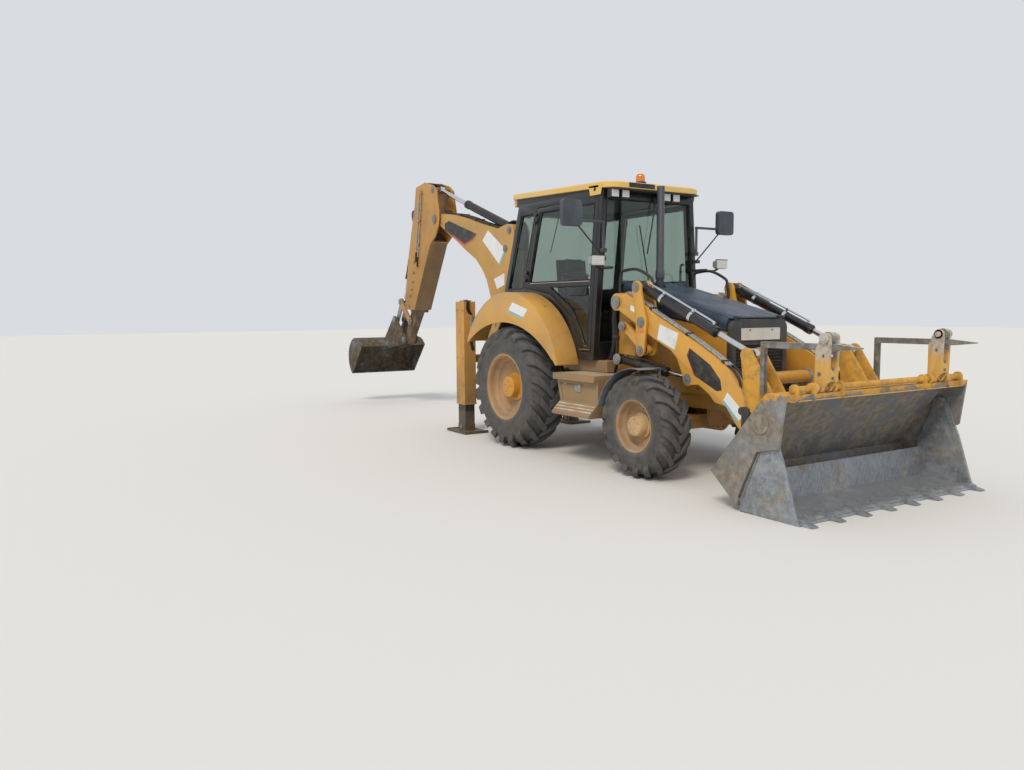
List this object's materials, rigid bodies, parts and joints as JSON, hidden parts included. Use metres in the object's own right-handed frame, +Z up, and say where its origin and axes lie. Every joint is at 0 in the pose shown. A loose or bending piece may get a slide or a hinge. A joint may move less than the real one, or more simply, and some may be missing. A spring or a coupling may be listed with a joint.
{
  "type": "backhoe loader",
  "caption": "Wheeled backhoe loader with a cab, a clamshell front bucket with flip-over forks, a sideshift boom with an extending stick, a wide ditching bucket and stabilizer legs.",
  "frame": {"origin": "on the ground, at the middle of the length and width of the bounding box in the rest pose", "axes": "+X forwards, towards the loader bucket; +Y to the left of the driver; +Z up"},
  "size_m": [10.1843, 2.424, 3.555],
  "materials": {
    "yellow_paint": "dusty gloss paint",
    "black_paint": "semi-gloss paint",
    "worn_steel": "worn and scoured",
    "chrome_rod": "polished",
    "tinted_glass": "clear",
    "tyre_rubber": "matte",
    "seat_fabric": "woven",
    "roof_paint": "dusty gloss paint",
    "lamp_housing": "gloss"
  },
  "bodies": {
    "chassis": {"chassis_frame": "yellow_paint", "engine_block": "black_paint", "radiator_grille": "black_paint", "rear_axle": "black_paint", "front_axle": "yellow_paint", "step_boxes": "yellow_paint", "rear_fenders": "yellow_paint", "cab_frame": "black_paint", "cab_floor": "black_paint", "cab_roof": "roof_paint", "cab_glass": "tinted_glass", "operator_seat": "seat_fabric", "exhaust_stack": "black_paint", "mirrors": "black_paint", "lamps": "lamp_housing", "sideshift_frame": "yellow_paint"},
    "rear_wheel_right": {"rear_wheel_right": "tyre_rubber"},
    "front_wheel_right": {"front_wheel_right": "tyre_rubber"},
    "knuckle_right": {"knuckle_right": "black_paint"},
    "door_right": {"door_right": "black_paint", "door_glass_right": "tinted_glass"},
    "stabilizer_right": {"stabilizer_right": "black_paint"},
    "rear_wheel_left": {"rear_wheel_left": "tyre_rubber"},
    "front_wheel_left": {"front_wheel_left": "tyre_rubber"},
    "knuckle_left": {"knuckle_left": "black_paint"},
    "door_left": {"door_left": "black_paint", "door_glass_left": "tinted_glass"},
    "stabilizer_left": {"stabilizer_left": "black_paint"},
    "hood": {"hood": "black_paint"},
    "steering_rod": {"steering_rod": "chrome_rod"},
    "loader_arms": {"loader_arms": "yellow_paint"},
    "loader_links": {"loader_links": "yellow_paint"},
    "lift_cylinder_barrels": {"lift_cylinder_barrels": "black_paint"},
    "lift_cylinder_rods": {"lift_cylinder_rods": "chrome_rod"},
    "tilt_cylinder_barrels": {"tilt_cylinder_barrels": "black_paint"},
    "tilt_cylinder_pistons": {"tilt_cylinder_pistons": "worn_steel"},
    "tilt_cylinder_rods": {"tilt_cylinder_rods": "chrome_rod"},
    "bucket_hinge_pins": {"bucket_hinge_pins": "worn_steel"},
    "sideshift_carriage": {"sideshift_carriage": "yellow_paint"},
    "swing_post": {"swing_post": "yellow_paint"},
    "boom": {"boom": "yellow_paint"},
    "boom_cylinder_barrel": {"boom_cylinder_barrel": "black_paint"},
    "boom_cylinder_rod": {"boom_cylinder_rod": "chrome_rod"},
    "stick": {"stick": "yellow_paint"},
    "stick_extension": {"stick_extension": "black_paint"},
    "stick_cylinder_barrel": {"stick_cylinder_barrel": "black_paint"},
    "stick_cylinder_rod": {"stick_cylinder_rod": "chrome_rod"},
    "bucket_cylinder_barrel": {"bucket_cylinder_barrel": "black_paint"},
    "bucket_cylinder_rod": {"bucket_cylinder_rod": "chrome_rod"},
    "bucket_rocker": {"bucket_rocker": "yellow_paint"},
    "bucket_link": {"bucket_link": "worn_steel"},
    "digging_bucket": {"digging_bucket": "worn_steel"},
    "loader_levers": {"loader_levers": "yellow_paint", "tilt_cylinder_bushings": "worn_steel"},
    "loader_bucket": {"loader_bucket_back": "worn_steel", "pallet_forks": "yellow_paint"},
    "loader_bucket_clam": {"loader_bucket_clam": "worn_steel"}
  },
  "joints": [
    {"name": "rear_wheel_right_spin", "type": "hinge", "parent": "chassis", "child": "rear_wheel_right", "pos_m": [0.67217, -0.868, 0.7], "axis": [0, 1, 0], "continuous": true},
    {"name": "rear_wheel_left_spin", "type": "hinge", "parent": "chassis", "child": "rear_wheel_left", "pos_m": [0.67217, 0.868, 0.7], "axis": [0, 1, 0], "continuous": true},
    {"name": "steer_right", "type": "hinge", "parent": "chassis", "child": "knuckle_right", "pos_m": [2.90217, -0.8, 0.494], "axis": [0, 0, 1], "range_deg": [-32, 32]},
    {"name": "front_wheel_right_spin", "type": "hinge", "parent": "knuckle_right", "child": "front_wheel_right", "pos_m": [2.90217, -0.885, 0.494], "axis": [0, 1, 0], "continuous": true},
    {"name": "steer_left", "type": "hinge", "parent": "chassis", "child": "knuckle_left", "pos_m": [2.90217, 0.8, 0.494], "axis": [0, 0, 1], "range_deg": [-32, 32]},
    {"name": "front_wheel_left_spin", "type": "hinge", "parent": "knuckle_left", "child": "front_wheel_left", "pos_m": [2.90217, 0.885, 0.494], "axis": [0, 1, 0], "continuous": true},
    {"name": "steering_rod_slide", "type": "slide", "parent": "chassis", "child": "steering_rod", "axis": [0, 1, 0], "range_m": [-0.1, 0.1]},
    {"name": "door_right_hinge", "type": "hinge", "parent": "chassis", "child": "door_right", "pos_m": [0.57036, -0.7205, 1.85091], "axis": [-0.2039, -0.0661, -0.9767], "range_deg": [0, 90]},
    {"name": "door_left_hinge", "type": "hinge", "parent": "chassis", "child": "door_left", "pos_m": [0.57036, 0.7205, 1.85091], "axis": [0.2039, -0.0661, 0.9767], "range_deg": [0, 90]},
    {"name": "hood_hinge", "type": "hinge", "parent": "chassis", "child": "hood", "pos_m": [3.49017, 0, 1.508], "axis": [0, 1, 0], "range_deg": [0, 55]},
    {"name": "loader_lift", "type": "hinge", "parent": "chassis", "child": "loader_arms", "pos_m": [2.23817, 0, 1.661], "axis": [0, -1, 0], "range_deg": [0, 85]},
    {"name": "levers_on_arms", "type": "hinge", "parent": "loader_arms", "child": "loader_levers", "pos_m": [2.64917, 0, 1.462], "axis": [0, -1, 0], "range_deg": [-86, 1]},
    {"name": "rear_link_pivot", "type": "hinge", "parent": "chassis", "child": "loader_links", "pos_m": [2.31817, 0, 1.419], "axis": [0, -1, 0], "range_deg": [-1, 106]},
    {"name": "lift_cylinder_base", "type": "hinge", "parent": "chassis", "child": "lift_cylinder_barrels", "pos_m": [2.24217, 0, 1.082], "axis": [0, -1, 0], "range_deg": [-1, 72]},
    {"name": "lift_rod_slide", "type": "slide", "parent": "lift_cylinder_barrels", "child": "lift_cylinder_rods", "axis": [0.991, 0, -0.1335], "range_m": [-0.01, 0.72]},
    {"name": "hinge_pins_level", "type": "hinge", "parent": "loader_arms", "child": "bucket_hinge_pins", "pos_m": [4.09217, 0, 0.46], "axis": [0, -1, 0], "range_deg": [-86, 1]},
    {"name": "bucket_dump", "type": "hinge", "parent": "bucket_hinge_pins", "child": "loader_bucket", "pos_m": [4.09217, 0, 0.46], "axis": [0, 1, 0], "range_deg": [-16, 45]},
    {"name": "clam_open", "type": "hinge", "parent": "loader_bucket", "child": "loader_bucket_clam", "pos_m": [4.56217, 0, 0.72], "axis": [0, -1, 0], "range_deg": [0, 75]},
    {"name": "tilt_cylinder_base", "type": "hinge", "parent": "loader_levers", "child": "tilt_cylinder_barrels", "pos_m": [2.57217, 0, 1.803], "axis": [0, -1, 0], "range_deg": [-2, 86]},
    {"name": "tilt_piston_slide", "type": "slide", "parent": "tilt_cylinder_barrels", "child": "tilt_cylinder_pistons", "axis": [0.9187, 0, -0.3949], "range_m": [-0.02, 0.62]},
    {"name": "tilt_rod_slide", "type": "slide", "parent": "tilt_cylinder_pistons", "child": "tilt_cylinder_rods", "axis": [0.9187, 0, -0.3949], "range_m": [-0.13, 0.33]},
    {"name": "boom_sideshift", "type": "slide", "parent": "chassis", "child": "sideshift_carriage", "axis": [0, 1, 0], "range_m": [-0.4, 0.7]},
    {"name": "boom_swing", "type": "hinge", "parent": "sideshift_carriage", "child": "swing_post", "pos_m": [-1.10783, -0.15, 0.66], "axis": [0, 0, 1], "range_deg": [-80, 80]},
    {"name": "boom_lower", "type": "hinge", "parent": "swing_post", "child": "boom", "pos_m": [-1.27783, -0.15, 0.72], "axis": [0, -1, 0], "range_deg": [-5, 95]},
    {"name": "boom_cylinder_base", "type": "hinge", "parent": "swing_post", "child": "boom_cylinder_barrel", "pos_m": [-0.92783, -0.15, 1.13], "axis": [0, -1, 0], "range_deg": [-10, 110]},
    {"name": "boom_rod_slide", "type": "slide", "parent": "boom_cylinder_barrel", "child": "boom_cylinder_rod", "axis": [0.2657, 0, 0.9641], "range_m": [-0.1, 0.9]},
    {"name": "stick_out", "type": "hinge", "parent": "boom", "child": "stick", "pos_m": [-2.55383, -0.15, 2.968], "axis": [0, 1, 0], "range_deg": [-25, 80]},
    {"name": "stick_cylinder_base", "type": "hinge", "parent": "boom", "child": "stick_cylinder_barrel", "pos_m": [-0.47783, -0.15, 2.63], "axis": [0, -1, 0], "range_deg": [-10, 10]},
    {"name": "stick_rod_slide", "type": "slide", "parent": "stick_cylinder_barrel", "child": "stick_cylinder_rod", "axis": [-0.9384, 0, 0.3455], "range_m": [-0.65, 0.35]},
    {"name": "stick_extend", "type": "slide", "parent": "stick", "child": "stick_extension", "axis": [-0.5085, 0, -0.8611], "range_m": [0, 1]},
    {"name": "bucket_curl", "type": "hinge", "parent": "stick_extension", "child": "digging_bucket", "pos_m": [-3.81783, -0.15, 1.11], "axis": [0, -1, 0], "range_deg": [-30, 80]},
    {"name": "rocker_pivot", "type": "hinge", "parent": "stick_extension", "child": "bucket_rocker", "pos_m": [-3.64183, -0.15, 1.41], "axis": [0, -1, 0], "range_deg": [-31, 81]},
    {"name": "link_pivot", "type": "hinge", "parent": "bucket_rocker", "child": "bucket_link", "pos_m": [-4.00183, -0.15, 1.74], "axis": [0, -1, 0], "range_deg": [-81, 31]},
    {"name": "bucket_cylinder_base", "type": "hinge", "parent": "stick_extension", "child": "bucket_cylinder_barrel", "pos_m": [-3.43783, -0.15, 3.12], "axis": [0, -1, 0], "range_deg": [-15, 15]},
    {"name": "bucket_rod_slide", "type": "slide", "parent": "bucket_cylinder_barrel", "child": "bucket_cylinder_rod", "axis": [-0.3783, 0, -0.9257], "range_m": [-0.35, 0.75]},
    {"name": "stabilizer_right_lift", "type": "slide", "parent": "chassis", "child": "stabilizer_right", "axis": [0, 0, 1], "range_m": [-0.12, 0.25]},
    {"name": "stabilizer_left_lift", "type": "slide", "parent": "chassis", "child": "stabilizer_left", "axis": [0, 0, 1], "range_m": [-0.12, 0.25]}
  ],
  "couplings": [
    {"joint": "steer_left", "follows": "steer_right", "ratio": 1},
    {"joint": "steering_rod_slide", "follows": "steer_right", "m_per_rad": -0.17},
    {"joint": "levers_on_arms", "follows": "loader_lift", "ratio": -1},
    {"joint": "rear_link_pivot", "follows": "loader_lift", "ratio": 1.222},
    {"joint": "lift_cylinder_base", "follows": "loader_lift", "ratio": 0.8255},
    {"joint": "lift_rod_slide", "follows": "loader_lift", "m_per_rad": 0.4738},
    {"joint": "hinge_pins_level", "follows": "loader_lift", "ratio": -1},
    {"joint": "tilt_cylinder_base", "follows": "loader_lift", "ratio": 0.9553},
    {"joint": "tilt_piston_slide", "follows": "loader_lift", "m_per_rad": 0.352},
    {"joint": "tilt_rod_slide", "follows": "bucket_dump", "m_per_rad": 0.4},
    {"joint": "boom_cylinder_base", "follows": "boom_lower", "ratio": 1.068},
    {"joint": "boom_rod_slide", "follows": "boom_lower", "m_per_rad": 0.4662},
    {"joint": "stick_cylinder_base", "follows": "stick_out", "ratio": 0.02},
    {"joint": "stick_rod_slide", "follows": "stick_out", "m_per_rad": -0.385},
    {"joint": "rocker_pivot", "follows": "bucket_curl", "ratio": 1},
    {"joint": "link_pivot", "follows": "bucket_curl", "ratio": -1},
    {"joint": "bucket_cylinder_base", "follows": "bucket_curl", "ratio": 0.03},
    {"joint": "bucket_rod_slide", "follows": "bucket_curl", "m_per_rad": 0.4}
  ]
}
